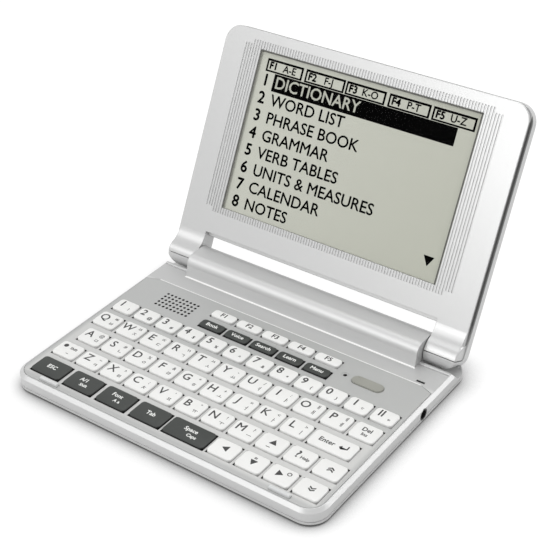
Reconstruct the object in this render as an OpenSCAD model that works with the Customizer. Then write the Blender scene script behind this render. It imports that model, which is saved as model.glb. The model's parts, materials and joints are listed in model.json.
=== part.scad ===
// Electronic dictionary with a hinged screen lid, shown open on a table.
// Millimetres, real size. X runs left to right, Y from the user to the hinge, Z up.
// Inside this file Y starts at the front edge of the case and the lid is drawn
// in its own frame, upright on the hinge axis; placed() and in_lid() put both in place.

/* [View] */
// Piece to draw, or all of them
// Segments of the round surfaces
smoothness = 48; // [24:8:96]

/* [Case] */
// Width of the case
case_w = 140; // [132:1:180]
// Depth of the case, front edge to rear wall
case_d = 104; // [100:1:140]
// Radius of the front corners, seen from above
corner_r = 8; // [5:0.5:14]
// Radius of the rear corners, seen from above
rear_corner_r = 7; // [2:0.5:9]
// Height of the keyboard deck above the table
deck_z = 7.2; // [6.8:0.1:10]
// Thickness of the side walls of both case halves
wall = 1.5; // [1.2:0.1:2]
// Thickness of the bottom
floor_t = 1.2; // [1:0.1:2]
// Height of the rubber feet below the bottom
foot_h = 0.7; // [0.4:0.1:1.5]
// Height of the visible rim of the lower half
rim_h = 1.4; // [1:0.1:2]
// Height and depth of the groove between the halves
groove = 0.3; // [0.2:0.05:0.6]
// Width of the bright bevel along the top edge
edge_bevel = 1.3; // [0.8:0.1:1.5]
// Chamfer along the bottom edge
bottom_chamfer = 0.4; // [0.2:0.1:0.7]
// Depth of the roof ledge that carries the keyboard plate
ledge_w = 1; // [0.6:0.1:1.2]
// Depth of the plain strip of case between keyboard plate and battery hump
rear_strip = 8.1; // [6:0.1:12]

/* [Keyboard] */
// Thickness of the keyboard plate
plate_t = 1; // [0.8:0.1:1.5]
// Drop of the plate's rear edge at its two ends
plate_drop = 2; // [1:0.1:4]
// Middle of the bottom row of keys, from the front edge
first_row_y = 9.9; // [9:0.1:14]
// Distance between the rows of letter keys
row_pitch = 11.8; // [10.8:0.1:13]
// Distance from the top letter row to the number row
number_pitch = 11.1; // [10:0.1:13]
// Distance from the number row to the menu row
menu_pitch = 9.1; // [8:0.1:12]
// Distance from the menu row to the function row
function_pitch = 7.8; // [7:0.1:10]
// Distance between letter keys along a row
letter_pitch = 12.12; // [11.8:0.02:14]
// Distance between number keys along the row
number_step = 11.13; // [10.8:0.01:13]
// Distance between function keys along the row
function_step = 12.48; // [12:0.01:14]
// Distance between the dark keys of the bottom row
mode_step = 16.25; // [15:0.05:18]
// Shift of the middle letter row to the right
middle_shift = 2.66; // [0:0.01:4]
// Shift of the lower letter row to the right
lower_shift = 0.41; // [0:0.01:4]
// Shift of the function and menu keys to the right
function_shift = 1; // [0:0.1:3]
// Shift of the number keys to the right
number_shift = 0.4; // [0:0.1:0.6]
// Width and depth of a letter key
letter_size = [10.6, 8.5];
// Width and depth of a number key
number_size = [9.6, 7.4];
// Width and depth of a function key
function_size = [11, 4.5];
// Width and depth of a menu key
menu_size = [11, 4.7];
// Width and depth of a dark key of the bottom row
mode_size = [14.2, 9.2];
// Gap on either side of the space key and left of the enter key
wide_gap = 1.25; // [1.1:0.05:3]
// Inset of the enter key's right end from the column above it
enter_in = 2.3; // [0:0.1:4]
// Height of the key tops above the deck
key_rise = 0.8; // [0.4:0.1:1.1]
// Corner radius of a key
key_r = 1.5; // [0.8:0.1:2]
// Chamfer round the top of a key
key_chamfer = 0.3; // [0.1:0.05:0.6]
// Width of the flange that holds a key under the plate
flange_w = 0.5; // [0.4:0.05:0.6]
// Thickness of that flange
flange_t = 0.6; // [0.4:0.05:0.8]
// Travel of a key
key_travel = 0.8; // [0.4:0.05:1]
// Gap between a key and the edge of its opening
key_gap = 0.25; // [0.15:0.05:0.35]
// Radius of a rubber dome at its foot
dome_r = 2; // [1.5:0.1:2.2]

/* [Deck] */
// Middle of the power button, from the centre line and the front edge
power_at = [46.1, 69.4];
// Width and depth of the power button
power_size = [13.5, 4.8];
// Travel of the power button
power_travel = 0.4; // [0.2:0.1:0.6]
// Height of the power button above the deck
power_rise = 0.5; // [0.4:0.1:0.8]
// Middle of the reset hole
reset_at = [36, 69.6];
// Radius of the reset hole
reset_r = 0.55; // [0.4:0.05:1]
// Radius of the ring round the reset hole
reset_ring_r = 1.5; // [1.2:0.1:2.5]
// Middle of the sound holes
speaker_at = [-45.25, 69.7];
// Number of columns and rows of sound holes
speaker_holes = [9, 5];
// Distances between the sound holes
speaker_step = [1.94, 2.05];
// Radius of a sound hole
speaker_hole_r = 0.5; // [0.3:0.05:0.8]
// Radius of the loudspeaker
speaker_r = 8.5; // [7:0.1:9]
// Distance of the two buffer bars from the centre line
bar_x = 53; // [40:1:56]
// Width and depth of a buffer bar
bar_size = [8.7, 1.4];
// Middle of the bars, from the front edge
bar_y = 3.3; // [2.8:0.1:3.6]
// Middle of the small slot in the rear strip, from the centre line
slot_x = 61.5; // [56:0.1:62]
// Width and depth of that slot
slot_size = [3.3, 0.7];

/* [Battery hump] */
// Backward lean of its front wall
hump_lean = 1.2; // [0:0.1:2]
// Radius of the front top edge
hump_front_r = 4; // [3:0.1:5]
// Radius of the rear top edge
hump_rear_r = 5; // [3:0.1:6]
// Radius of a battery
cell_r = 5.25; // [5:0.05:5.4]
// Room in front of and behind the batteries, for the leaning walls of the hump
hump_room = 2.5; // [2.4:0.1:6]
// Length of a battery, with its contact cap
cell_len = 44.5; // [43:0.1:45]
// Room for the contacts at each end of the battery bay
contact_room = 2.1; // [1.8:0.1:3]
// Thickness of the battery contacts
contact_t = 0.4; // [0.2:0.05:0.5]
// Overlap of the battery cover's side rails on the bottom
rail_w = 0.8; // [0.6:0.1:1.5]

/* [Hinge] */
// Distance of the hinge axis from the rear wall
axis_back = 5.1; // [5:0.1:6]
// Radius of the lid's knuckles
knuckle_r = 5.7; // [5:0.1:6]
// Width of a knuckle
knuckle_w = 14; // [12:0.1:18]
// Gap between a knuckle and the end of the hump
hinge_gap = 0.35; // [0.3:0.05:0.6]
// Room round a knuckle in the scoop of the case
scoop_gap = 1.3; // [0.8:0.1:1.5]
// Height of the small ledge in front of a knuckle
ledge_rise = 0.3; // [0.2:0.05:0.4]
// Radius of the blend between the lid's inner face and a knuckle
blend_r = 10; // [3:0.5:10.5]
// Radius of a hinge pin
pin_r = 1.5; // [1.2:0.05:1.8]
// Radius of the bore through a hinge pin
pin_bore_r = 0.9; // [0.7:0.05:1.1]
// Length of a hinge pin
pin_len = 12; // [10:0.5:14]
// Wall thickness of a hinge bush
bush_wall = 1.1; // [0.8:0.1:1.5]
// Length of a hinge bush inside the hump
bush_len = 5; // [4:0.1:7]
// Radius and thickness of its collar
bush_collar = [3.4, 0.25];
// Running clearance between pin and bush
pin_fit = 0.04; // [0.02:0.01:0.08]

/* [Lid] */
// Backward lean of the lid as shown, from upright
lid_tilt = 26.8; // [0:0.1:60]
// Inset of the lid's sides from the sides of the case
lid_side = 0.4; // [0.2:0.1:1]
// Inset of the lid's tip from the front of the case, when shut
lid_front = 0.75; // [0.3:0.05:2]
// Gap between deck and lid, when shut
shut_gap = 1.3; // [1.2:0.1:1.8]
// Distance from the hinge axis forward to the lid's inner face
inner_at = 1.5; // [1.2:0.1:2]
// Thickness of the front frame at its edge
frame_edge = 2.4; // [2:0.1:3]
// Thickness of the front frame over the display
frame_t = 1.4; // [1.2:0.1:1.8]
// Height of the cover's straight edge
cover_edge = 3.8; // [2:0.1:4.2]
// Height of the cover's dome above that edge
cover_dome = 1; // [0.8:0.1:3]
// Thickness of the cover's back
cover_t = 1.2; // [0.9:0.1:1.5]
// Radius of the lid's upper corners
lid_r = 7.5; // [7:0.1:12]
// Gap between the hump's foot and the frame's lower edge, when shut
lid_gap = 1.2; // [1:0.1:3]
// Gap between the hump and the cover's lower edge that passes over it
sweep_gap = 0.45; // [0.4:0.05:1]
// Distance by which the cover reaches below the frame between the knuckles
cover_drop = 2.5; // [2:0.1:3]
// Inset of the front frame's sides from the cover's
frame_in = 0.4; // [0.2:0.1:0.6]
// Thickness of the frame's lip in front of the shadow gap, and depth of that gap
lip = [0.6, 0.5];
// Width and height of the display window
window_size = [102, 67.1];
// Distance from the hinge axis to the foot of the window
window_low = 23.8; // [22:0.1:26]
// Thickness of the clear window
window_t = 0.8; // [0.6:0.1:1]
// Width of the ribbed band at the sides, foot and head of the window
band = [7.6, 2.7, 3.2];
// Distance between the grooves of the ribbed band
band_step = 1.27; // [1:0.01:2]
// Width and depth of a groove
band_groove = [0.55, 0.3];
// Thickness of the display module
display_t = 1.9; // [1.4:0.1:2.2]
// Width of the display module's frame round the window
display_rim = 3; // [2:0.1:4]
// Radius of the display lead
lead_r = 0.6; // [0.4:0.05:0.7]
// Radius of its bends
lead_bend_r = 0.8; // [0.8:0.1:1.2]

/* [Inside] */
// Thickness of the main board
board_t = 0.8; // [0.6:0.1:1.2]
// Height of the posts under the main board
post_h = 0.8; // [0.6:0.1:1]
// Thickness of the rubber key mat
mat_t = 0.5; // [0.3:0.1:0.8]
// Radius of the earphone socket's bore
jack_r = 1.8; // [1.75:0.05:1.9]
// Middle of the socket, from the front edge
jack_y = 70; // [66:0.1:74]
// Height of the socket's middle above the bottom face
jack_up = 2.9; // [2.8:0.1:3.2]
// Depth of the socket's bore
jack_deep = 11; // [10:0.5:14]
// Radius of the socket's round nose
jack_nose_r = 2.3; // [2.2:0.05:2.6]
// Width of the socket's body
jack_w = 6.4; // [6:0.1:8]
// Shaft radius of a case screw
screw_r = 0.7; // [0.6:0.05:1]
// Head radius of a case screw
screw_head_r = 1.4; // [1.2:0.1:1.8]
// Head height of a case screw
screw_head_t = 0.8; // [0.6:0.05:0.9]
// Distance of the outer screws from the centre line, front and rear
screw_x = [58, 50];
// Radius of a foot
foot_r = 4; // [3:0.1:5]
// Distances of the feet from the centre line, the front and the rear
foot_at = [60, 10, 9];
// Depth of the recess that holds a foot or a bar
recess = 0.4; // [0.3:0.05:0.5]

/* [Fits] */
// Play between flat pieces that touch
seat = 0.05; // [0.02:0.01:0.1]
// Play round a piece that slides or drops into its pocket
slip = 0.1; // [0.05:0.01:0.2]

/* [Hidden] */
$fn = smoothness;

// Heights in the case
bottom_z = foot_h;
floor_z = bottom_z + floor_t;
rim_z = bottom_z + rim_h;
join_z = rim_z + groove;
plate_z = deck_z - plate_t;
roof_z = plate_z - ledge_w;
flange_z = plate_z - seat - flange_t;
board_z = floor_z + post_h;
mat_z = board_z + board_t;
dome_h = flange_z - max(key_travel, power_travel) - seat - mat_z - mat_t;
jack_z = bottom_z + jack_up;

// Plan of the case
plate_in = wall + 0.3;
plate_edge = 0.15;
inner_x = case_w / 2 - wall;
hump_d = 2 * (cell_r + wall) + hump_room;
hump_y = case_d - hump_d;
plate_rear = hump_y - rear_strip;
screw_front = wall + 0.1 + boss_r();
screw_rear = hump_y - 4.8;
ledge_x = case_w / 2 - plate_in - ledge_w;
board_side = 1.7;
board_front = screw_front + boss_r() + 0.7;
board_rear = screw_rear - boss_r() - 0.8;
bar_z = deck_z + shut_gap - 0.2;

// Hinge, hump and batteries
axis_y = case_d - axis_back;
axis_z = deck_z + shut_gap + inner_at;
hump_x = case_w / 2 - lid_side - knuckle_w - hinge_gap;
knuckle_x = hump_x + hinge_gap;
scoop_r = knuckle_r + scoop_gap;
shell_t = 0.9;
lid_out = frame_edge + cover_edge + cover_dome - inner_at;
bay_x = cell_len + contact_room;
cell_y = (hump_y + wall + case_d - wall) / 2;
door_rib = join_z - slip;
cell_z = door_rib + seat + cell_r;
hump_top = max(axis_z + lid_out + 0.2, cell_z + cell_r + wall + slip);
cover_x = bay_x + 1;
cover_y = hump_y - 1.2;
bush_r = pin_r + pin_fit + bush_wall;
pin_end = hump_x - bush_len + pin_len + 0.2;
pin_press = 0.02;

// Lid, measured from the hinge axis: across, back and up
lid_x = case_w / 2 - lid_side;
lid_len = axis_y - lid_front;
join_n = frame_edge - inner_at;
plate_n = frame_t - inner_at;
cover_n = join_n + cover_edge;
cover_steps = [[0.2, join_n], [0.2, join_n + 0.2], [0, join_n + 0.2], [0, cover_n],
    [0.5, cover_n + 0.5], [6, lid_out]];
cover_in = min(cover_n, lid_out - cover_t - 0.4);
frame_steps = [[frame_in + 0.25, -inner_at], [frame_in, 0.25 - inner_at],
    [frame_in, lip[0] - inner_at], [frame_in + lip[1], lip[0] - inner_at],
    [frame_in + lip[1], join_n]];
frame_wall = wall + slip + 0.8;
lid_clear = hump_d - axis_back + lid_gap;
sweep_r = norm([hump_y + hump_lean + hump_front_r - axis_y, hump_top - hump_front_r - axis_z])
    + hump_front_r + sweep_gap;
lid_depth = max([for (s = cover_steps) (lid_len - s[0]) * sin(lid_tilt) + s[1] * cos(lid_tilt)]);
middle_y = (axis_y + lid_depth) / 2;
window_mid = window_low + window_size[1] / 2;

// Keys: rows from the front, columns from the centre line
top_y = first_row_y + 3 * row_pitch;
middle_y_row = first_row_y + 2 * row_pitch;
lower_y = first_row_y + row_pitch;
number_y = top_y + number_pitch;
menu_y = number_y + menu_pitch;
function_y = menu_y + function_pitch;
letter_x = -5 * letter_pitch;
mode_x = letter_x - letter_size[0] / 2 + lower_shift + mode_size[0] / 2 + 0.6;
space_ends = [mode_x + 3 * mode_step + mode_size[0] / 2 + wide_gap,
    column(7) + lower_shift - letter_size[0] / 2 - wide_gap];
enter_ends = [column(8) + middle_shift + letter_size[0] / 2 + wide_gap,
    column(10) + letter_size[0] / 2 - enter_in];

function boss_r() = screw_r + 0.8;
function column(i) = letter_x + i * letter_pitch;
function wide_key(ends, y, d) = [(ends[0] + ends[1]) / 2, y, [ends[1] - ends[0], d]];
function centred(i, n, step) = (i - (n - 1) / 2) * step;

// Every key: middle and size
number_keys = [for (i = [0:11])
    [centred(i, 12, number_step) + number_shift, number_y, number_size]];
function_keys = [for (i = [0:4])
    [centred(i, 5, function_step) + function_shift, function_y, function_size]];
menu_keys = [for (i = [0:4])
    [centred(i, 5, function_step) + function_shift, menu_y, menu_size]];
mode_keys = [for (i = [0:3]) [mode_x + i * mode_step, first_row_y, mode_size]];
top_letters = [for (i = [0:9]) [column(i), top_y, letter_size]];
middle_letters = [for (i = [0:8]) [column(i) + middle_shift, middle_y_row, letter_size]];
bottom_letters = [for (i = [1:7]) [column(i) + lower_shift, lower_y, letter_size]];
delete_place = [column(10), top_y, letter_size];
enter_place = wide_key(enter_ends, middle_y_row, letter_size[1]);
shift_place = [column(0) + lower_shift, lower_y, letter_size];
up_place = [column(8) + lower_shift, lower_y, letter_size];
help_place = [column(9) + lower_shift, lower_y, letter_size];
page_up_place = [column(10) + lower_shift, lower_y, letter_size];
space_place = wide_key(space_ends, first_row_y, mode_size[1]);
left_place = [column(7) + lower_shift, first_row_y, letter_size];
down_place = [column(8) + lower_shift, first_row_y, letter_size];
right_place = [column(9) + lower_shift, first_row_y, letter_size];
page_down_place = [column(10) + lower_shift, first_row_y, letter_size];
all_keys = concat(number_keys, function_keys, menu_keys, mode_keys, top_letters,
    middle_letters, bottom_letters, [delete_place, enter_place, shift_place, up_place,
    help_place, page_up_place, space_place, left_place, down_place, right_place,
    page_down_place]);

// Colours of the display sheet
silver = [0.78, 0.79, 0.8];
light_silver = [0.86, 0.87, 0.88];
key_white = [0.94, 0.94, 0.92];
key_dark = [0.3, 0.32, 0.3];

module placed() {
    translate([0, -middle_y, 0]) children();
}

module both_sides() {
    for (side = [0, 1]) mirror([side, 0, 0]) children();
}

module in_lid() {
    placed() translate([0, axis_y, axis_z]) rotate([-lid_tilt, 0, 0]) children();
}

// Block with rounded corners whose edge follows steps of [inset, height];
// Y runs from 0 to d, with corner radius rf at Y = 0 and rr at Y = d.
module stepped_block(w, d, rf, rr, steps) {
    n = len(steps) - 1;
    low = steps[0][1];
    high = steps[n][1];
    for (side = [-1, 1]) {
        translate([side * (w / 2 - rf), rf, 0]) stepped_round(rf, steps);
        translate([side * (w / 2 - rr), d - rr, 0]) stepped_round(rr, steps);
    }
    translate([-w / 2 + rf, 0, 0]) rotate([90, 0, 90]) linear_extrude(w - 2 * rf)
        polygon(concat([for (s = steps) s], [[rf, high], [rf, low]]));
    translate([-w / 2 + rr, 0, 0]) rotate([90, 0, 90]) linear_extrude(w - 2 * rr)
        polygon(concat([for (s = steps) [d - s[0], s[1]]], [[d - rr, high], [d - rr, low]]));
    translate([0, d - rr, 0]) rotate([90, 0, 0]) linear_extrude(d - rf - rr)
        polygon(concat([for (s = steps) [w / 2 - s[0], s[1]]],
            [for (i = [n:-1:0]) [s_in(steps, i) - w / 2, steps[i][1]]]));
}

function s_in(steps, i) = steps[i][0];

module stepped_round(r, steps) {
    n = len(steps) - 1;
    rotate_extrude() polygon(concat([[0, steps[0][1]]], [for (s = steps) [r - s[0], s[1]]],
        [[0, steps[n][1]]]));
}

// Plan outline of the case, drawn in by "in"
module case_outline(in) {
    w = case_w / 2 - in;
    rf = corner_r - in;
    rr = rear_corner_r - in;
    for (side = [-1, 1]) {
        translate([side * (w - rf), in + rf]) circle(rf);
        translate([side * (w - rr), case_d - in - rr]) circle(rr);
    }
    translate([-w + rf, in]) square([2 * (w - rf), rf * 2]);
    translate([-w, in + rf]) square([2 * w, case_d - 2 * in - rf - rr]);
    translate([-w + rr, case_d - in - 2 * rr]) square([2 * (w - rr), 2 * rr]);
}

// Plan outline of the keyboard plate, grown by "out"
module plate_outline(out) {
    w = case_w / 2 - plate_in + out;
    r = corner_r - plate_in + out;
    for (side = [-1, 1]) translate([side * (w - r), plate_in - out + r]) circle(r);
    translate([-w + r, plate_in - out]) square([2 * (w - r), r * 2]);
    polygon([[-w, plate_in - out + r], [w, plate_in - out + r],
        [w, plate_rear - plate_drop + out], [w - 5, plate_rear + out],
        [5 - w, plate_rear + out], [-w, plate_rear - plate_drop + out]]);
}

// Cross-section of the hump, drawn in by "in" and standing on height z
module hump_section(in, z) {
    front = [hump_y + hump_lean + hump_front_r, hump_top - hump_front_r];
    rear = [case_d - hump_rear_r, hump_top - hump_rear_r];
    translate(front) circle(hump_front_r - in);
    translate(rear) circle(hump_rear_r - in);
    polygon([[hump_y + in, z], [hump_y + in, deck_z], [front[0] - hump_front_r + in, front[1]],
        front, [front[0], hump_top - in], [rear[0], hump_top - in], rear,
        [case_d - in, rear[1]], [case_d - in, z]]);
}

module along_x(from, to) {
    translate([from, 0, 0]) rotate([90, 0, 90]) linear_extrude(to - from) children();
}

// Round bar along X; from and to may come in either order
module rod_x(from, to, r) {
    translate([min(from, to), 0, 0]) rotate([0, 90, 0]) cylinder(h = abs(to - from), r = r);
}

module box(low, high) {
    translate(low) cube(high - low);
}

// Screw places in the case
module at_screws() {
    for (x = [-screw_x[0], 0, screw_x[0]]) translate([x, screw_front, 0]) children();
    for (x = [-screw_x[1], 0, screw_x[1]]) translate([x, screw_rear, 0]) children();
}

module at_feet() {
    for (x = [-foot_at[0], foot_at[0]], y = [foot_at[1], case_d - foot_at[2]])
        translate([x, y, 0]) children();
}

module lower_case() {
    color(silver) placed() difference() {
        union() {
            difference() {
                union() {
                    stepped_block(case_w, case_d, corner_r, rear_corner_r,
                        [[bottom_chamfer, bottom_z], [0, bottom_z + bottom_chamfer], [0, rim_z]]);
                    translate([0, 0, rim_z - 0.1]) linear_extrude(join_z - rim_z + 0.1)
                        case_outline(groove);
                }
                translate([0, 0, floor_z]) linear_extrude(4) case_outline(wall);
            }
            // Posts for the board and for the screws
            for (x = [-60, -20, 20, 60], y = [16, 38, 60])
                translate([x, y, floor_z - 0.2]) cylinder(h = post_h + 0.2, r = 1.5);
            at_screws() translate([0, 0, floor_z - 0.2])
                cylinder(h = join_z - seat - floor_z + 0.2, r = boss_r());
        }
        // Battery door opening with its two steps
        box([-cover_x - slip, cover_y - slip, 0], [cover_x + slip, case_d + 1, join_z + 1]);
        box([-cover_x - rail_w - slip, cover_y - slip, bottom_z + floor_t / 2 - seat],
            [cover_x + rail_w + slip, case_d + 1, join_z + 1]);
        at_feet() translate([0, 0, bottom_z - 1]) cylinder(h = 1 + recess, r = foot_r + slip);
        at_screws() {
            translate([0, 0, bottom_z - 1]) cylinder(h = 1.05 + screw_head_t,
                r = screw_head_r + slip);
            cylinder(h = 9, r = screw_r + slip);
        }
        // Earphone socket: pocket for its body and half hole for its nose
        box([case_w / 2 - wall - jack_deep - slip, jack_y - jack_w / 2 - slip, jack_z - 2.2],
            [ledge_x, jack_y + jack_w / 2 + slip, join_z + 1]);
        translate([0, jack_y, jack_z])
            rod_x(ledge_x - slip - 0.3, case_w, jack_nose_r + slip);
    }
}

module upper_case() {
    color(light_silver) placed() difference() {
        union() {
            stepped_block(case_w, case_d, corner_r, rear_corner_r,
                [[0, join_z], [0, deck_z - edge_bevel], [edge_bevel, deck_z]]);
            along_x(-hump_x, hump_x) hump_section(0, roof_z);
            both_sides() along_x(hump_x - 1, case_w / 2 - edge_bevel)
                polygon([[axis_y - scoop_r - 0.8, deck_z - 1],
                    [axis_y - scoop_r - 0.8, deck_z + ledge_rise - 0.3],
                    [axis_y - scoop_r - 0.5, deck_z + ledge_rise],
                    [axis_y - scoop_r + 1.5, deck_z + ledge_rise],
                    [axis_y - scoop_r + 1.5, deck_z - 1]]);
        }
        // Inside of the case, kept clear of the scoops under the knuckles
        difference() {
            translate([0, 0, join_z - 1]) linear_extrude(roof_z - join_z + 1) case_outline(wall);
            both_sides() translate([0, axis_y, axis_z])
                rod_x(hump_x - shell_t, case_w, scoop_r + shell_t);
            at_screws() translate([0, 0, join_z]) cylinder(h = roof_z, r = boss_r());
        }
        // Battery bay and the small pockets beside it
        difference() {
            along_x(-bay_x, bay_x) hump_section(wall, join_z - 1);
            for (x = [-cell_len / 2, cell_len / 2]) difference() {
                along_x(x - 0.6, x + 0.6) hump_section(0, roof_z);
                translate([0, cell_y, cell_z]) rod_x(x - 1, x + 1, cell_r + slip);
                box([x - 1, cell_y - cell_r - slip, 0], [x + 1, cell_y + cell_r + slip, cell_z]);
            }
        }
        both_sides() box([bay_x + 1.2, axis_y - 3.5, join_z - 1],
            [hump_x - bush_len, case_d - wall, axis_z + 2.5]);
        // Seats of the hinge bushes and scoops for the knuckles
        both_sides() translate([0, axis_y, axis_z]) {
            rod_x(hump_x - bush_len - 1, case_w, bush_r + pin_press);
            rod_x(hump_x, case_w, scoop_r);
            box([hump_x, 0, 0], [case_w, case_d, hump_top]);
        }
        both_sides() box([hump_x, axis_y - scoop_r - 1.2, deck_z - 0.3],
            [case_w / 2 - edge_bevel - 0.5, axis_y - scoop_r - 0.8, deck_z + 1]);
        // Seat of the keyboard plate
        translate([0, 0, plate_z]) linear_extrude(plate_t + 5) intersection() {
            plate_outline(plate_edge);
            translate([-case_w, 0]) square([2 * case_w, plate_rear + 1]);
        }
        translate([0, 0, roof_z - 1]) linear_extrude(plate_t + 5) plate_outline(-ledge_w);
        at_screws() translate([0, 0, join_z - 1]) cylinder(h = roof_z - join_z + 0.6,
            r = screw_r + pin_press);
        box([slot_x - slot_size[0] / 2, (plate_rear + hump_y - slot_size[1]) / 2 - 2.1,
            deck_z - 1.2], [slot_x + slot_size[0] / 2,
            (plate_rear + hump_y + slot_size[1]) / 2 - 2.1, deck_z + 1]);
        translate([0, jack_y, jack_z])
            rod_x(ledge_x - slip - 0.3, case_w, jack_nose_r + slip);
    }
}

module keyboard_deck() {
    color(silver) placed() difference() {
        translate([0, 0, plate_z]) linear_extrude(plate_t) plate_outline(0);
        for (k = all_keys) translate([k[0], k[1], plate_z - 1])
            linear_extrude(plate_t + 2) square(k[2] + 2 * [key_gap, key_gap], center = true);
        translate([power_at[0], power_at[1], plate_z - 1])
            linear_extrude(plate_t + 2) pill(power_size + 2 * [slip, slip]);
        for (i = [0:speaker_holes[0] - 1], j = [0:speaker_holes[1] - 1])
            translate([speaker_at[0] + centred(i, speaker_holes[0], speaker_step[0]),
                speaker_at[1] + centred(j, speaker_holes[1], speaker_step[1]), 0])
                cylinder(h = 20, r = speaker_hole_r, $fn = 16);
        translate([reset_at[0], reset_at[1], 0]) cylinder(h = 20, r = reset_r);
        translate([reset_at[0], reset_at[1], deck_z - 0.15]) cylinder(h = 1, r = reset_ring_r);
        for (x = [-bar_x, bar_x]) translate([x, bar_y, deck_z - recess])
            linear_extrude(1) square(bar_size + 2 * [slip, slip], center = true);
    }
}

module pill(size) {
    r = size[1] / 2;
    for (side = [-1, 1]) translate([side * (size[0] / 2 - r), 0]) circle(r);
    square([size[0] - 2 * r, size[1]], center = true);
}

// Cut-outs that board and mat share: loudspeaker and earphone socket
module inner_cutouts() {
    translate([speaker_at[0], speaker_at[1], 0]) cylinder(h = 20, r = speaker_r + 0.3);
    box([inner_x - jack_deep - 0.4, jack_y - jack_w / 2 - 0.3, 0],
        [case_w, jack_y + jack_w / 2 + 0.3, 20]);
}

module key_mat() {
    color([0.75, 0.76, 0.78]) placed() {
        difference() {
            box([board_side - inner_x, board_front, mat_z],
                [inner_x - board_side, board_rear, mat_z + mat_t]);
            inner_cutouts();
            translate([reset_at[0], reset_at[1], 10]) cube([3.4, 3.4, 20], center = true);
        }
        for (k = concat(all_keys, [power_at])) translate([k[0], k[1], mat_z + mat_t - 0.1])
            cylinder(h = dome_h + 0.1, r1 = dome_r, r2 = dome_r * 0.6, $fn = 24);
    }
}

module main_board() {
    color([0.15, 0.4, 0.25]) placed() {
        difference() {
            box([board_side - inner_x, board_front, board_z],
                [inner_x - board_side, board_rear, mat_z]);
            inner_cutouts();
        }
        // Chips on the underside and the reset switch on top
        box([-12, 24, board_z - 0.6], [4, 34, board_z + 0.1]);
        box([28, 24, board_z - 0.6], [40, 32, board_z + 0.1]);
        box([-44, 44, board_z - 0.5], [-32, 52, board_z + 0.1]);
        box([reset_at[0] - 1.5, reset_at[1] - 1.5, mat_z - 0.1],
            [reset_at[0] + 1.5, reset_at[1] + 1.5, mat_z + 1.3]);
        translate([reset_at[0], reset_at[1], mat_z]) cylinder(h = 1.6, r = reset_r);
    }
}

module speaker() {
    color([0.2, 0.2, 0.2]) placed() translate([speaker_at[0], speaker_at[1], 0])
        difference() {
            translate([0, 0, floor_z]) cylinder(h = plate_z - seat - floor_z, r = speaker_r);
            translate([0, 0, plate_z - seat - 0.6]) cylinder(h = 2, r = speaker_r - 1);
        }
}

module earphone_jack() {
    color([0.12, 0.12, 0.13]) placed() translate([0, jack_y, jack_z]) difference() {
        union() {
            box([case_w / 2 - wall - jack_deep, -jack_w / 2, -2.15],
                [ledge_x - slip, jack_w / 2, min(2.2, plate_z - jack_z - 0.2)]);
            rod_x(ledge_x - slip - 0.2, case_w / 2 - 0.1, jack_nose_r);
        }
        rod_x(case_w / 2 - 0.1 - jack_deep, case_w, jack_r);
    }
}

module battery_cells() {
    color([0.25, 0.3, 0.45]) placed() translate([0, cell_y, cell_z]) for (side = [0, 1]) {
        start = side * cell_len - cell_len;
        rod_x(start, start + cell_len - 1.2, cell_r);
        rod_x(start + cell_len - 1.3, start + cell_len - seat, 1.9);
    }
}

module battery_contacts() {
    color([0.8, 0.78, 0.7]) placed() {
        // Flat contact for the cap end
        box([bay_x - contact_t - seat, cell_y - 3, floor_z + 2.4],
            [bay_x - seat, cell_y + 1.4, cell_z + 4]);
        translate([0, cell_y, cell_z]) rod_x(cell_len + seat, bay_x - contact_t, 1.2);
        // Plate with a leaf spring for the flat end
        box([seat - bay_x, cell_y - 3, floor_z + 2.4],
            [contact_t + seat - bay_x, cell_y + 1.4, cell_z + 4]);
        translate([0, cell_y + 1.4, 0]) rotate([90, 0, 0]) linear_extrude(4.4)
            polygon([[seat - bay_x, cell_z + 4], [contact_t + seat - bay_x, cell_z + 4],
                [-cell_len - seat, cell_z + 0.6], [-cell_len - seat, cell_z - 0.6],
                [-cell_len - 0.9, cell_z - 2.5], [-cell_len - 1.1, cell_z - 2.2],
                [-cell_len - 0.4, cell_z], [-cell_len - 0.6, cell_z + 0.6],
                [contact_t + seat - bay_x, cell_z + 3.2]]);
    }
}

module battery_cover() {
    color(silver) placed() difference() {
        union() {
            box([-cover_x, cover_y, bottom_z], [cover_x, case_d - bottom_chamfer, floor_z]);
            box([-cover_x, cover_y + 1, bottom_z + bottom_chamfer], [cover_x, case_d, rim_z]);
            box([-cover_x - rail_w, cover_y, bottom_z + floor_t / 2],
                [cover_x + rail_w, case_d, floor_z]);
            box([-cover_x - rail_w, case_d - wall, bottom_z + floor_t / 2],
                [cover_x + rail_w, case_d, rim_z]);
            // Front tongue above the bottom of the case
            for (x = [-30, 0, 30]) box([x - 5, cover_y - 1.4, floor_z + seat],
                [x + 5, cover_y + 2, floor_z + seat + 0.5]);
            // Ribs that carry the batteries
            for (x = [-33, -11, 11, 33]) box([x - 0.6, cover_y + 3, floor_z - 0.2],
                [x + 0.6, case_d - wall - 0.5, door_rib]);
        }
        box([-cover_x + 1.2, cover_y + 2.4, floor_z], [cover_x - 1.2, cover_y + 2.9, 9]);
        // Grip grooves on the underside
        for (i = [0:4]) box([-9, cover_y + 4 + 1.6 * i, 0],
            [9, cover_y + 4.8 + 1.6 * i, bottom_z + 0.3]);
    }
}

module rubber_pads() {
    color([0.62, 0.63, 0.64]) placed() {
        at_feet() cylinder(h = bottom_z + recess, r = foot_r);
        for (x = [-bar_x, bar_x]) translate([x, bar_y - bar_size[1] / 2, 0])
            stepped_block(bar_size[0], bar_size[1], 0.3, 0.3,
                [[0, deck_z - recess], [0, bar_z - 0.2], [0.2, bar_z]]);
    }
}

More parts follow.
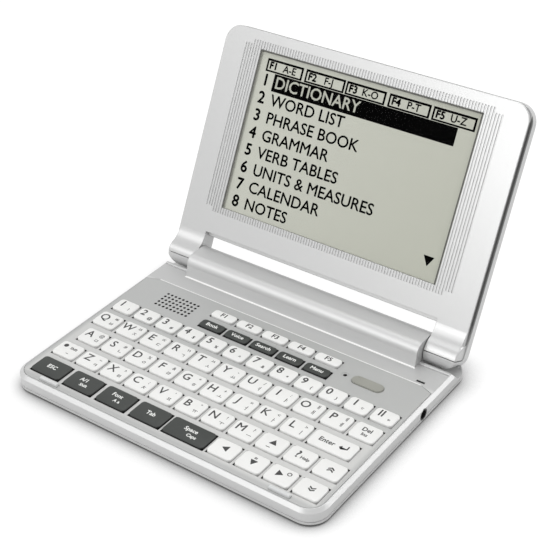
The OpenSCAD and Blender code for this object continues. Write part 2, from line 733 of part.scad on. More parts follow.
module case_screws() {
    color([0.7, 0.7, 0.72]) placed() at_screws() difference() {
        union() {
            translate([0, 0, bottom_z + 0.05]) cylinder(h = screw_head_t, r = screw_head_r);
            cylinder(h = roof_z - 0.6, r = screw_r);
        }
        translate([0, 0, -1]) cylinder(h = bottom_z + 1.05, r = screw_head_r);
        for (a = [0, 90]) rotate(a) cube([1.6, 0.4, 2 * bottom_z + 0.8], center = true);
    }
}

module power_button() {
    color([0.66, 0.67, 0.63]) placed() translate([power_at[0], power_at[1], 0]) {
        translate([0, 0, flange_z]) linear_extrude(deck_z + power_rise - 0.2 - flange_z)
            pill(power_size);
        translate([0, 0, deck_z + power_rise - 0.3]) linear_extrude(0.3)
            pill(power_size - [0.4, 0.4]);
        translate([0, 0, flange_z]) linear_extrude(flange_t)
            pill(power_size + 2 * [flange_w, flange_w]);
    }
}

// Plan of the lid in its own frame, drawn in by "in": x across, y up from the axis
module lid_outline(in) {
    r = lid_r - in;
    difference() {
        union() {
            for (side = [-1, 1]) translate([side * (lid_x - lid_r), lid_len - lid_r]) circle(r);
            translate([-lid_x + in, in]) square([2 * (lid_x - in), lid_len - lid_r - in]);
            translate([-lid_x + lid_r, in]) square([2 * (lid_x - lid_r), lid_len - 2 * in]);
        }
        translate([-knuckle_x - in, -1]) square([2 * (knuckle_x + in), lid_clear + 1 + in]);
    }
}

// Slab of the lid's plan between two depths
module lid_slab(in, from, to) {
    translate([0, from, 0]) rotate([90, 0, 0]) mirror([0, 0, 1]) linear_extrude(to - from)
        lid_outline(in);
}

// Solid of the lid above the axis, with its notch between the knuckles up to "low"
module lid_body(steps, low, tip) {
    difference() {
        translate([0, 0, lid_len + tip]) rotate([-90, 0, 0])
            stepped_block(2 * lid_x, lid_len + 20, lid_r, lid_r, steps);
        box([-case_w, -20, -60], [case_w, 20, 0]);
        box([-knuckle_x, -20, -1], [knuckle_x, 20, low]);
    }
}

// Round bar of one knuckle, drawn in by "in" at its outer end
module knuckle(in, chamfer) {
    end = lid_x - in;
    rod_x(knuckle_x, end - chamfer, knuckle_r);
    translate([end - chamfer, 0, 0]) rotate([0, 90, 0])
        cylinder(h = chamfer, r1 = knuckle_r, r2 = knuckle_r - chamfer);
}

// What the rounded lower corner of the lid takes away from a knuckle
module lid_corner(in) {
    x = lid_x - lid_r;
    r = lid_r - in;
    difference() {
        box([x, -20, -knuckle_r - 1], [case_w, 20, r - knuckle_r]);
        translate([x, -20, r - knuckle_r]) rotate([-90, 0, 0]) cylinder(h = 40, r = r);
    }
}

module lid_frame() {
    color(light_silver) in_lid() difference() {
        union() {
            difference() {
                lid_body(frame_steps, lid_clear, frame_in);
                lid_slab(frame_wall, plate_n, join_n + 1);
            }
            // Tongue that locates the cover
            difference() {
                lid_slab(wall + slip, join_n - 0.1, join_n + 0.8);
                lid_slab(frame_wall, join_n - 1, join_n + 2);
                box([-case_w, -9, -1], [case_w, 9, knuckle_r + 1]);
            }
            both_sides() {
                difference() {
                    knuckle(frame_in, 0.4);
                    box([0, join_n, -9], [case_w, 9, 9]);
                    box([0, -9, -9], [case_w, 9, -0.3]);
                }
                translate([knuckle_x, 0, 0]) knuckle_blend(lid_x - frame_in - 0.4 - knuckle_x);
            }
        }
        // Hollow of the knuckle, and room for the boss round the pin
        both_sides() {
            rod_x(knuckle_x + wall, lid_x - wall - frame_in, knuckle_r - 1.3);
            rod_x(knuckle_x - 1, pin_end + 0.9, pin_r + 1.5);
            lid_corner(frame_in);
        }
        box([-window_size[0] / 2, -9, window_low],
            [window_size[0] / 2, 9, window_low + window_size[1]]);
        band_grooves();
    }
}

// Hollow curve from the lid's inner face into the front of a knuckle
module knuckle_blend(w) {
    reach = knuckle_r + blend_r;
    up = sqrt(reach * reach - (inner_at + blend_r) * (inner_at + blend_r));
    rotate([90, 0, 90]) linear_extrude(w) difference() {
        polygon([[0.5 - inner_at, 1], [-(inner_at + blend_r) * knuckle_r / reach,
            up * knuckle_r / reach], [-inner_at, up], [0.5 - inner_at, up]]);
        translate([-inner_at - blend_r, up]) circle(blend_r);
    }
}

// Upright grooves of the band round the window
module band_grooves() {
    w = window_size[0] / 2;
    n = floor((w + band[0]) / band_step);
    for (i = [-n:n]) {
        x = i * band_step;
        side = abs(x) > w - band_step / 2;
        low = window_low - band[1] + (abs(x) > w + band[0] - 3 ? 2 : 0);
        high = window_low + window_size[1] + band[2] - (abs(x) > w + band[0] - 3 ? 2 : 0);
        if (side) groove_box(x, low, high);
        if (!side) {
            groove_box(x, low, window_low + 1);
            groove_box(x, window_low + window_size[1] - 1, high);
        }
    }
}

module groove_box(x, low, high) {
    box([x - band_groove[0] / 2, -inner_at - 1, low],
        [x + band_groove[0] / 2, band_groove[1] - inner_at, high]);
}

module lid_back() {
    color(light_silver) in_lid() difference() {
        union() {
            difference() {
                union() {
                    lid_body(cover_steps, lid_clear - cover_drop, 0);
                    both_sides() difference() {
                        knuckle(0, 1);
                        box([0, -9, -0.6], [case_w, join_n, 9]);
                    }
                }
                lid_slab(wall, join_n - 1, cover_in);
                lid_slab(wall + 1.4, cover_in - 0.1, lid_out - cover_t);
                both_sides() rod_x(knuckle_x + wall, lid_x - wall, knuckle_r - 1.3);
            }
            // Ribs that press on the display module, and the bosses round the pins
            for (x = [-36, 0, 36]) box([x - 0.6, plate_n + display_t + 2 * seat, window_low + 4],
                [x + 0.6, lid_out - cover_t + 0.2, window_low + window_size[1] - 4]);
            both_sides() rod_x(knuckle_x, pin_end + 0.8, pin_r + 1.4);
        }
        both_sides() {
            rod_x(knuckle_x - 1, pin_end, pin_r + pin_press);
            rod_x(knuckle_x - 1, pin_end + 2, pin_bore_r);
            lid_corner(0);
        }
        // Hollow lower edge that passes over the hump
        rod_x(-knuckle_x, knuckle_x, sweep_r);
    }
}

module screen_window() {
    color([0.75, 0.8, 0.78, 0.5]) in_lid()
        box([slip - window_size[0] / 2, 0.15 - inner_at, window_low + slip],
            [window_size[0] / 2 - slip, 0.15 - inner_at + window_t,
            window_low + window_size[1] - slip]);
}

module lcd_panel() {
    color([0.72, 0.73, 0.67]) in_lid() {
        box([slip - window_size[0] / 2, 0.2 - inner_at + window_t, window_low + slip],
            [window_size[0] / 2 - slip, plate_n + 0.5, window_low + window_size[1] - slip]);
        box([-window_size[0] / 2 - display_rim, plate_n + seat, window_low - display_rim],
            [window_size[0] / 2 + display_rim, plate_n + seat + display_t,
            window_low + window_size[1] + display_rim]);
    }
}

module hinge_pins() {
    color([0.7, 0.7, 0.72]) in_lid() both_sides() difference() {
        rod_x(pin_end - pin_len, pin_end, pin_r);
        rod_x(pin_end - pin_len - 1, pin_end + 1, pin_bore_r);
    }
}

module hinge_bushes() {
    color([0.72, 0.6, 0.35]) placed() translate([0, axis_y, axis_z]) both_sides()
        difference() {
            union() {
                rod_x(hump_x - bush_len, hump_x, bush_r);
                rod_x(hump_x, hump_x + bush_collar[1], bush_collar[0]);
            }
            rod_x(hump_x - bush_len - 1, hump_x + 2, pin_r + pin_fit);
        }
}

// Quarter bend of the lead round the Z axis of its own frame
module lead_bend(a) {
    rotate([0, 0, a]) rotate_extrude(angle = 90) translate([lead_bend_r, 0])
        circle(lead_r, $fn = 24);
}

// Lead from the hump through the left pin to the display module
module display_cable() {
    r = lead_bend_r;
    turn = -(pin_end + lid_x - wall) / 2;
    up = window_low + 2;
    color([0.15, 0.15, 0.16]) in_lid() {
        rod_x(pin_len - pin_end + 1, turn, lead_r, $fn = 24);
        translate([turn, r, 0]) lead_bend(180);
        translate([turn - r, r, r]) rotate([90, 0, 90]) lead_bend(-90);
        translate([turn - r, 2 * r, r]) cylinder(h = up - 2 * r, r = lead_r, $fn = 24);
        translate([turn, 2 * r, up - r]) rotate([90, 0, 0]) lead_bend(90);
        translate([0, 2 * r, up]) rod_x(turn, -window_size[0] / 2 - display_rim - seat, lead_r,
            $fn = 24);
    }
}

// One key: cap through the plate and flange under it
module key(place) {
    w = place[2][0] + 2 * flange_w;
    d = place[2][1] + 2 * flange_w;
    top = deck_z + key_rise;
    r = min(key_r, place[2][1] / 4) + flange_w;
    placed() translate([place[0], place[1] - d / 2, 0]) stepped_block(w, d, r, r,
        [[0, flange_z], [0, flange_z + flange_t], [flange_w, flange_z + flange_t],
        [flange_w, top - key_chamfer], [flange_w + key_chamfer, top]]);
}

module white_key(place) {
    color(key_white) key(place);
}

module dark_key(place) {
    color(key_dark) key(place);
}

module white_keys(places) {
    for (place = places) white_key(place);
}

lower_case();
upper_case();
keyboard_deck();
key_mat();
main_board();
speaker();
earphone_jack();
battery_cells();
battery_contacts();
battery_cover();
rubber_pads();
case_screws();
power_button();
lid_frame();
lid_back();
screen_window();
lcd_panel();
hinge_pins();
hinge_bushes();
display_cable();
white_key(number_keys[0]);  // number_key_1
white_key(number_keys[1]);  // number_key_2
white_key(number_keys[2]);  // number_key_3
white_key(number_keys[3]);  // number_key_4
white_key(number_keys[4]);  // number_key_5
white_key(number_keys[5]);  // number_key_6
white_key(number_keys[6]);  // number_key_7
white_key(number_keys[7]);  // number_key_8
white_key(number_keys[8]);  // number_key_9
white_key(number_keys[9]);  // number_key_10
white_key(number_keys[10]);  // number_key_11
white_key(number_keys[11]);  // number_key_12
white_key(function_keys[0]);  // function_key_1
white_key(function_keys[1]);  // function_key_2
white_key(function_keys[2]);  // function_key_3
white_key(function_keys[3]);  // function_key_4
white_key(function_keys[4]);  // function_key_5
dark_key(menu_keys[0]);  // menu_key_1
dark_key(menu_keys[1]);  // menu_key_2
dark_key(menu_keys[2]);  // menu_key_3
dark_key(menu_keys[3]);  // menu_key_4
dark_key(menu_keys[4]);  // menu_key_5
dark_key(mode_keys[0]);  // mode_key_1
dark_key(mode_keys[1]);  // mode_key_2
dark_key(mode_keys[2]);  // mode_key_3
dark_key(mode_keys[3]);  // mode_key_4
dark_key(space_place);  // space_key
white_key(left_place);  // left_key
white_key(down_place);  // down_key
white_key(right_place);  // right_key
white_key(up_place);  // up_key
white_key(page_up_place);  // page_up_key
white_key(page_down_place);  // page_down_key
white_key(help_place);  // help_key
white_key(shift_place);  // shift_key
white_key(enter_place);  // enter_key
white_key(delete_place);  // delete_key
white_keys(top_letters);  // letter_keys_top
white_keys(middle_letters);  // letter_keys_middle
white_keys(bottom_letters);  // letter_keys_bottom
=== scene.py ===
# %% [markdown]
# # A pocket electronic dictionary, opened on a table
#
# The imported CAD model is the frame of this scene: every part is already there at its real
# size. This lesson lights it, photographs it from the angle of a product picture, gives each
# part its finish, and replaces or adds the pieces whose beauty is in their detail: the
# moulded keys, the print on them and the picture on the display.

# %% Load the frame
import json
import math

import bmesh
import bpy
from mathutils import Matrix, Vector


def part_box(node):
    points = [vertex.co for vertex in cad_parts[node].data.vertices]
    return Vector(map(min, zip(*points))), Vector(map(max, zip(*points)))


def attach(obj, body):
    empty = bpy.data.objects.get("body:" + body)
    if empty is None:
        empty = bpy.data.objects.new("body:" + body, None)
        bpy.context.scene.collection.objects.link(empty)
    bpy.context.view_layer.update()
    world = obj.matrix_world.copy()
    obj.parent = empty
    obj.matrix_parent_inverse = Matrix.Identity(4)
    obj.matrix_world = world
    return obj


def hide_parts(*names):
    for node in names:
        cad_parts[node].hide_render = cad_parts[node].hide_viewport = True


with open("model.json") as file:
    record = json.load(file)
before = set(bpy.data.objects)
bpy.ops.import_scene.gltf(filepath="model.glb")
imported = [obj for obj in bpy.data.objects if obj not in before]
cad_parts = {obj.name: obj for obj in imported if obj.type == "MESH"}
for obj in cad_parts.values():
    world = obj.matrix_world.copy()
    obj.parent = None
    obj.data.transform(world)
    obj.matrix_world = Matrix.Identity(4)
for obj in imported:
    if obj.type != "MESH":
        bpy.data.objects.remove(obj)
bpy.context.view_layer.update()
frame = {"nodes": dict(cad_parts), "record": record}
nodes = frame["nodes"]
scene = bpy.context.scene
millimetre = 0.001

# %% [markdown]
# ## The viewpoint
#
# The picture this follows was taken with a long lens from the right front, a little above
# the lid. Its viewpoint was worked out from edges of the object whose sizes are known, so
# the three directions of the camera are written down as a matrix. A long focal length
# keeps the far corner of the lid almost as large as the near corner of the keyboard.


# %% Camera
def look(place, across, up, back, focal_length):
    view = bpy.data.cameras.new("viewpoint")
    view.sensor_width = 36
    view.lens = focal_length
    view.clip_start, view.clip_end = 0.05, 20
    camera = bpy.data.objects.new("viewpoint", view)
    axes = Matrix((across, up, back)).transposed().to_4x4()
    camera.matrix_world = Matrix.Translation(place) @ axes
    scene.collection.objects.link(camera)
    scene.camera = camera
    return camera


camera = look(
    place=(0.25698, -0.34883, 0.32674),
    across=(0.81304, 0.58195, -0.01708),
    up=(-0.31247, 0.46094, 0.83060),
    back=(0.49125, -0.66997, 0.55661),
    focal_length=90.17,
)
print("camera distance in m:", round(camera.location.length, 3))

# %% [markdown]
# ## Finishes as expressions
#
# A finish is easiest to read as arithmetic: "grey plus a little noise". The class below
# wraps an output of a shader node and overloads the operators, so an expression adds the
# Math nodes by itself. Colours have their own node, and every other node comes from one
# method that takes its type, its settings and its sockets.


# %% Shader arithmetic
class Value:
    """What comes out of a node."""

    def __init__(self, finish, socket):
        self.finish, self.socket = finish, socket

    def math(self, operation, *numbers):
        return self.finish.node("Math", {"operation": operation}, *numbers)

    def __add__(self, other):
        return self.math("ADD", self, other)

    def __sub__(self, other):
        return self.math("SUBTRACT", self, other)

    def __rsub__(self, other):
        return self.math("SUBTRACT", other, self)

    def __mul__(self, other):
        return self.math("MULTIPLY", self, other)

    def __gt__(self, other):
        return self.math("GREATER_THAN", self, other)

    def __lt__(self, other):
        return self.math("LESS_THAN", self, other)

    def __abs__(self):
        return self.math("ABSOLUTE", self)

    __radd__, __rmul__ = __add__, __mul__

    def at_most(self, limit):
        return self.math("MINIMUM", self, limit)

    def wrapped(self, step):
        """The way to the nearest of a row of places that stand this far apart."""
        return self.math("WRAP", self, step / 2, -step / 2)

    def within(self, low, high):
        """1 between two numbers and 0 outside them."""
        return (self > low) * (self < high)


class Finish:
    """One material: its nodes, and the shader that they feed."""

    def __init__(self, name, **same_all_over):
        self.material = bpy.data.materials.new(name)
        self.material.use_nodes = True
        self.nodes = self.material.node_tree.nodes
        self.links = self.material.node_tree.links
        self.shader = self.nodes["Principled BSDF"]
        self.wear(**same_all_over)
        self.place = self.node("TexCoord", output="Object")
        self.across, self.along, self.height = (
            self.node("SeparateXYZ", {}, self.place, output=axis) for axis in "XYZ"
        )

    def feed(self, socket, given):
        """Links a value to a socket, or sets a number or a colour in it."""
        if isinstance(given, Value):
            self.links.new(given.socket, socket)
        elif given is not None:
            socket.default_value = (*given, 1) if socket.type == "RGBA" else given

    def node(self, kind, settings=None, *inputs, output=0, **named):
        made = self.nodes.new("ShaderNode" + kind)
        for setting, choice in (settings or {}).items():
            setattr(made, setting, choice)
        for key, given in [*enumerate(inputs), *named.items()]:
            self.feed(made.inputs[key], given)
        return Value(self, made.outputs[output])

    def noise(self, size, detail=2):
        """Noise whose grains are about this large, in metres; from 0 to 1."""
        return self.node("TexNoise", {}, Vector=self.place, Scale=1 / size, Detail=detail,
                         Roughness=0.5)

    def between(self, low, high, amount):
        """Goes from 0 to 1 as amount goes from low to high."""
        return self.node("MapRange", {}, amount, low, high, 0.0, 1.0)

    def blend(self, amount, first, second):
        """A colour between two."""
        made = self.nodes.new("ShaderNodeMix")
        made.data_type = "RGBA"
        sockets = [s for s in made.inputs if s.enabled]
        for socket, given in zip(sockets, (amount, first, second)):
            self.feed(socket, given)
        return Value(self, next(s for s in made.outputs if s.enabled))

    def soft_edges(self, radius):
        """The surface's direction with its sharp edges rounded off."""
        return self.node("Bevel", {"samples": 6}, radius)

    def bump(self, height, depth, under=None):
        """A direction that shows this height, where 1 is depth metres."""
        return self.node("Bump", {}, Strength=1.0, Distance=depth, Height=height,
                         Normal=under)

    def wear(self, **looks):
        """Sets or feeds sockets of the shader."""
        for name, given in looks.items():
            self.feed(self.shader.inputs[name.replace("_", " ")], given)
        return self


def two_tone(name, first, second, grain, detail, **same_all_over):
    """A finish that wanders between two close tones, as print and film do."""
    finish = Finish(name, **same_all_over)
    return finish.wear(Base_Color=finish.blend(finish.noise(grain, detail), first, second))


def put_on(finish, *names):
    """Gives CAD nodes this finish."""
    for name in names:
        for slot in nodes[name].material_slots:
            slot.material = finish.material
    print(finish.material.name, "on", ", ".join(names))


# %% [markdown]
# ## Light
#
# A product like this is photographed under large soft lights, so that the silver paint
# glows without hard glints. The world gives an even level, and four area lamps give
# direction. The front and the low lamp stand where the sloping edges of the case mirror
# them: they draw the bright line along the front, the band along the battery hump and the
# white of the hinge knuckles. The lamp above fills in, and the one at the side, behind the
# lid, lights its right edge. The world is plain white where the camera looks straight at
# it, or at its mirror image.


# %% World and lamps
def studio_world(level):
    """Even light of this level, which is plain white where it is seen itself."""
    world = bpy.data.worlds.new("studio")
    world.use_nodes = True
    scene.world = world
    tree = world.node_tree
    tree.nodes.clear()
    path = tree.nodes.new("ShaderNodeLightPath")
    seen = path.outputs["Is Camera Ray"]
    for ray in ("Is Glossy Ray", "Is Transmission Ray"):
        either = tree.nodes.new("ShaderNodeMath")
        either.operation, either.use_clamp = "ADD", True
        tree.links.new(seen, either.inputs[0])
        tree.links.new(path.outputs[ray], either.inputs[1])
        seen = either.outputs[0]
    mixed = tree.nodes.new("ShaderNodeMixShader")
    tree.links.new(seen, mixed.inputs[0])
    for i, strength in ((1, level), (2, 1)):
        light = tree.nodes.new("ShaderNodeBackground")
        light.inputs["Color"].default_value = (1, 1, 1, 1)
        light.inputs["Strength"].default_value = strength
        tree.links.new(light.outputs[0], mixed.inputs[i])
    out = tree.nodes.new("ShaderNodeOutputWorld")
    tree.links.new(mixed.outputs[0], out.inputs[0])


def softbox(name, place, side, watts):
    """A square lamp that faces the object."""
    lamp = bpy.data.lights.new(name, "AREA")
    lamp.shape = "RECTANGLE"
    lamp.size = lamp.size_y = side
    lamp.energy = watts
    holder = bpy.data.objects.new(name, lamp)
    holder.location = place
    holder.rotation_euler = (-Vector(place)).to_track_quat("-Z", "Y").to_euler()
    scene.collection.objects.link(holder)


studio_world(0.5)
softbox("light_front", (-0.74, -0.84, 1.0), 0.7, 3.2)
softbox("light_low", (-0.32, -1.36, 0.78), 0.5, 4.5)
softbox("light_above", (0.0, 0.35, 1.2), 0.9, 5.5)
softbox("light_side", (0.95, 0.9, 0.6), 0.5, 3)
scene.view_settings.view_transform = "Standard"

# %% [markdown]
# ## Table top
#
# The object stands on a white sheet. To the camera the sheet is mostly its own white, as
# in a picture that is cut out for a catalogue, with the soft contact shadow that ambient
# occlusion finds within fifteen millimetres, and a fifth of the shadow that the lamps cast.

# %% Sheet
sheet_reach = 3.0
sheet_gap = 0.02 * millimetre
floor_mesh = bmesh.new()
bmesh.ops.create_grid(floor_mesh, x_segments=1, y_segments=1, size=sheet_reach)
bmesh.ops.translate(floor_mesh, verts=floor_mesh.verts, vec=(0, 0, -sheet_gap))
floor_data = bpy.data.meshes.new("table_top")
floor_mesh.to_mesh(floor_data)
floor_mesh.free()
floor = bpy.data.objects.new("table_top", floor_data)
scene.collection.objects.link(floor)

# %% White of the sheet
shadow_reach = 15 * millimetre
closed_in, open_to_sky = 0.3, 0.92
darkest, brightest = 0.01, 1.12
own_white = 0.8
white_sheet = Finish("white_sheet", Roughness=0.9, Specular_IOR_Level=0.1,
                     Base_Color=(0.86, 0.86, 0.86))
open_sky = white_sheet.node("AmbientOcclusion", {"samples": 8}, Distance=shadow_reach,
                            output="AO")
contact = white_sheet.node("MapRange", {}, open_sky, closed_in, open_to_sky, darkest,
                           brightest)
paper = white_sheet.node("Emission", {}, Strength=contact)
looked_at = (white_sheet.node("LightPath", output="Is Camera Ray")
             + white_sheet.node("LightPath", output="Is Glossy Ray"))
lit = Value(white_sheet, white_sheet.shader.outputs[0])
both = white_sheet.node("MixShader", {}, looked_at * own_white, lit, paper)
sheet_end = next(n for n in white_sheet.nodes if n.type == "OUTPUT_MATERIAL")
white_sheet.feed(sheet_end.inputs[0], both)
floor_data.materials.append(white_sheet.material)
print("sheet in m:", 2 * sheet_reach, "by", 2 * sheet_reach)

# %% [markdown]
# ## Silver paint
#
# Case and lid are moulded plastic under silver paint. The paint holds fine metal flakes,
# so it is between a metal and a matt colour, with a faint sparkle as fine as a tenth of a
# millimetre and a slow drift of tone over the whole panel. The keyboard plate has a
# darker, more even coat.


# %% Silver maker
def silver_paint(name, tone, sheen, dullness, edge, *shades):
    """Silver, with shades: pairs of a function that says where, and a colour."""
    finish = Finish(name, Metallic=sheen)
    flakes = finish.noise(0.12 * millimetre, 1)
    drift = finish.noise(30 * millimetre)
    mottle = finish.noise(1.5 * millimetre, 3)
    tint = 0.93 + flakes * 0.08 + drift * 0.03 + mottle * 0.02
    colour = finish.blend(tint, (0, 0, 0), tone)
    for where, other in shades:
        colour = finish.blend(where(finish), colour, other)
    rough = dullness - 0.04 + flakes * 0.05 + mottle * 0.04
    grain = finish.bump(flakes, 0.004 * millimetre, finish.soft_edges(edge))
    return finish.wear(Base_Color=colour, Roughness=rough, Normal=grain)


# %% [markdown]
# Some places are painted brighter or darker than the paint itself: painted highlights on
# edges that catch the lamps, painted light that the white keys throw on the plate, and
# painted shade where hardly any light reaches, in hollows and in the shade of the lid. Each
# of the functions below gives the share of the other colour: up to 1 in such a place, and 0
# elsewhere. Those of the plate and the case measure across and along the table, and up and
# down from the face of the plate. The one of the lid measures from the hinge, up the lid as
# it leans back.

# %% Places on the keyboard plate
deck_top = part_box("keyboard_deck")[1].z
sound_x, sound_y = -45.25 * millimetre, -4.085 * millimetre
sound_pitch_x, sound_pitch_y = 1.94 * millimetre, 2.05 * millimetre
sound_columns, sound_rows = 9, 5
reset_x, reset_y = 36 * millimetre, -4.185 * millimetre
sound_dot, reset_dot = 0.6 * millimetre, 0.8 * millimetre


def under_the_plate(finish):
    """1 below the face of the keyboard plate, in its openings and holes, where painted shade
    darkens them.
    """
    return finish.height < deck_top - 0.2 * millimetre


def near(across, along, radius):
    """1 within this radius of the place where both are 0."""
    return (across * across + along * along) < radius ** 2


def hole_rims(finish):
    """1 round the sound holes, which stand in rows, and round the reset hole: painted shade in
    a ring round each hole.
    """
    across, along = finish.across - sound_x, finish.along - sound_y
    rims = near(across.wrapped(sound_pitch_x), along.wrapped(sound_pitch_y), sound_dot)
    rows = ((abs(across) < sound_pitch_x * sound_columns / 2)
            * (abs(along) < sound_pitch_y * sound_rows / 2))
    reset = near(finish.across - reset_x, finish.along - reset_y, reset_dot)
    return rims * rows + reset


def among_keys(finish):
    """Where the keys light the plate between them with their white sides."""
    behind = finish.between(-22 * millimetre, -25 * millimetre, finish.along)
    in_front = finish.between(-70.5 * millimetre, -69 * millimetre, finish.along)
    beside = finish.between(67.5 * millimetre, 66 * millimetre, abs(finish.across))
    return behind * in_front * beside * 0.8


print("face of the plate at mm:", round(deck_top / millimetre, 3))

# %% Places on the case
foot_low, foot_high, foot_end = 13.6 * millimetre, 14.3 * millimetre, 55.5 * millimetre
ledge_low, ledge_high, ledge_end = 6.2 * millimetre, 6.7 * millimetre, 62.5 * millimetre
slot_x, slot_y = 61.5 * millimetre, 8.07 * millimetre
slot_reach_x, slot_reach_y = 1.8 * millimetre, 0.52 * millimetre


def painted_highlight_lines(finish):
    """Painted highlight where edges catch the light: the foot of the battery hump, and less so,
    behind the plate.
    """
    foot = finish.along.within(foot_low, foot_high) * (abs(finish.across) < foot_end)
    ledge = finish.along.within(ledge_low, ledge_high) * (abs(finish.across) < ledge_end)
    level = finish.height.within(deck_top - 0.7 * millimetre, deck_top + 0.3 * millimetre)
    return (foot + ledge * 0.7) * level


def rear_strip(finish):
    """The flat strip between the plate and the hump, in the shade of the lid."""
    level = finish.height.within(deck_top - 0.1 * millimetre, deck_top + 0.3 * millimetre)
    return level * finish.between(5.5 * millimetre, 6.5 * millimetre, finish.along) * 0.8


def light_slot(finish):
    """1 in the slot for the power light and on its edges: painted shade."""
    across = abs(finish.across - slot_x) < slot_reach_x
    along = abs(finish.along - slot_y) < slot_reach_y
    level = finish.height.within(deck_top - 1.7 * millimetre, deck_top + 0.1 * millimetre)
    return across * along * level


# %% Places on the lid
hinge = next(j for j in frame["record"]["behaviour"]["joints"] if j["name"] == "lid_hinge")
hinge_place = Vector(hinge["pos_m"])
lid_tilt = math.radians(26.8)
lip_front, lip_back = -0.85 * millimetre, 1.5 * millimetre
side_face, side_edge = 69.12 * millimetre, 68.6 * millimetre
end_face, end_edge = 98.07 * millimetre, 97.5 * millimetre


def lip_side(finish):
    """The side of the lid, in the shade of the lip of its front frame."""
    y = finish.along - hinge_place.y
    z = finish.height - hinge_place.z
    up = y * math.sin(lid_tilt) + z * math.cos(lid_tilt)
    back = y * math.cos(lid_tilt) - z * math.sin(lid_tilt)
    out = abs(finish.across)
    under_lip = back.within(lip_front, lip_back)
    side = (out > side_face) * (back < lip_back) + (out > side_edge) * under_lip
    end = ((up > end_face) + (up > end_edge) * under_lip) * 0.5
    strength = finish.between(3 * millimetre, 14 * millimetre, up) * 0.68
    return (side + end).at_most(1) * strength


print("hinge at mm:", [round(v / millimetre, 2) for v in hinge_place])

# %% Silver finishes
# Near black, painted as shade: in the slot, on the lid's side under the lip, in the plate's
# openings and round its holes.
painted_shade = (0.06, 0.06, 0.058)
moulded_edge, pressed_edge = 0.25 * millimetre, 0.12 * millimetre
# The case has painted highlights on two edges, and painted shade on its rear strip and in the
# slot.
case_silver = silver_paint("case_silver", (0.6, 0.602, 0.6), 0.35, 0.4, moulded_edge,
                           (rear_strip, (0.5, 0.502, 0.5)),
                           (painted_highlight_lines, (0.95, 0.95, 0.94)), (light_slot, painted_shade))
lid_silver = silver_paint("lid_silver", (0.57, 0.572, 0.57), 0.4, 0.32, moulded_edge,
                          (lip_side, painted_shade))
deck_silver = silver_paint("deck_silver", (0.46, 0.465, 0.46), 0.35, 0.45, pressed_edge,
                           (among_keys, (0.6, 0.6, 0.59)), (under_the_plate, painted_shade),
                           (hole_rims, painted_shade))
put_on(case_silver, "lower_case", "upper_case", "battery_cover")
put_on(lid_silver, "lid_back", "lid_frame")
put_on(deck_silver, "keyboard_deck")


# %% [markdown]
# ## Small finishes
#
# The rest of the case: rubber feet and buffer bars, steel screws and pins, brass bushes,
# the nickel contacts, the printed sleeves of the two batteries, the green board, the
# silicone mat under the keys, and the black socket and lead.


# %% Plain finishes with grain
def grained(name, tone, dullness, grain=0.3, depth=0.01, metal=0.0):
    """One tone with specks of this size and depth in millimetres, and slow clouds."""
    finish = Finish(name, Metallic=metal)
    specks = finish.noise(grain * millimetre)
    cloud = finish.noise(grain * 25 * millimetre, 3)
    change = 0.12
    tint = 1 - change + specks * change + cloud * change
    colour = finish.blend(tint * 0.95, (0, 0, 0), tone)
    rough = dullness - 0.05 + cloud * 0.1
    surface = finish.bump(specks, depth * millimetre, finish.soft_edges(0.1 * millimetre))
    return finish.wear(Base_Color=colour, Roughness=rough, Normal=surface)


put_on(grained("pad_rubber", (0.72, 0.73, 0.73), 0.5), "rubber_pads")
put_on(grained("screw_steel", (0.62, 0.62, 0.63), 0.3, metal=1.0), "case_screws", "hinge_pins")
put_on(grained("bush_brass", (0.75, 0.6, 0.32), 0.3, metal=1.0), "hinge_bushes")
put_on(grained("contact_nickel", (0.72, 0.7, 0.65), 0.25, metal=1.0), "battery_contacts")
put_on(grained("cell_sleeve", (0.16, 0.2, 0.36), 0.35, metal=0.5), "battery_cells")
put_on(grained("board_green", (0.05, 0.24, 0.11), 0.4), "main_board")
put_on(grained("mat_silicone", (0.72, 0.73, 0.75), 0.5), "key_mat")
put_on(grained("socket_black", (0.02, 0.02, 0.022), 0.25), "earphone_jack", "display_cable")
put_on(grained("cone_paper", (0.03, 0.03, 0.03), 0.8, 0.6, 0.04), "speaker")
put_on(grained("pill_grey", (0.345, 0.345, 0.31), 0.3), "power_button")

# %% [markdown]
# ## Display
#
# A reflective display is a grey-green sheet behind a clear window. The sheet's colour is
# painted a little lighter towards the lower left: a painted reflection of the table. The
# window is almost invisible, so its own colour is dark: even two hundredths of a light colour
# would turn the black of the display grey.

# %% Display and window
fade_reach = 50 * millimetre
crystal_grey = Finish("crystal_grey", Specular_IOR_Level=0.1)
# Painted reflection: the sheet's colour is lighter towards its lower left.
to_the_right = crystal_grey.across - crystal_grey.height * 0.4 + 20 * millimetre
crystal_grey.wear(
    Base_Color=crystal_grey.blend(crystal_grey.between(-fade_reach, fade_reach, to_the_right),
                                  (0.65, 0.66, 0.585), (0.58, 0.59, 0.51)),
    Roughness=0.35 + crystal_grey.noise(0.4 * millimetre) * 0.05,
)
put_on(crystal_grey, "lcd_panel")
clear_window = two_tone("clear_window", (0.02, 0.02, 0.02), (0.03, 0.03, 0.03),
                        20 * millimetre, 2, Roughness=0.08, Alpha=0.02,
                        Specular_IOR_Level=0.2)
put_on(clear_window, "screen_window")

# %% [markdown]
# ## Keys
#
# Each key is a moulded cap that stands eight tenths of a millimetre above the plate, with
# a thin flange that holds it under the plate. A cube, scaled and bevelled twice, makes
# the cap: first its four upright edges, for the round corners, and then the edge of its
# top, which a mould always leaves a little soft. The rows of letters are one piece each,
# like the CAD rows that they stand for.

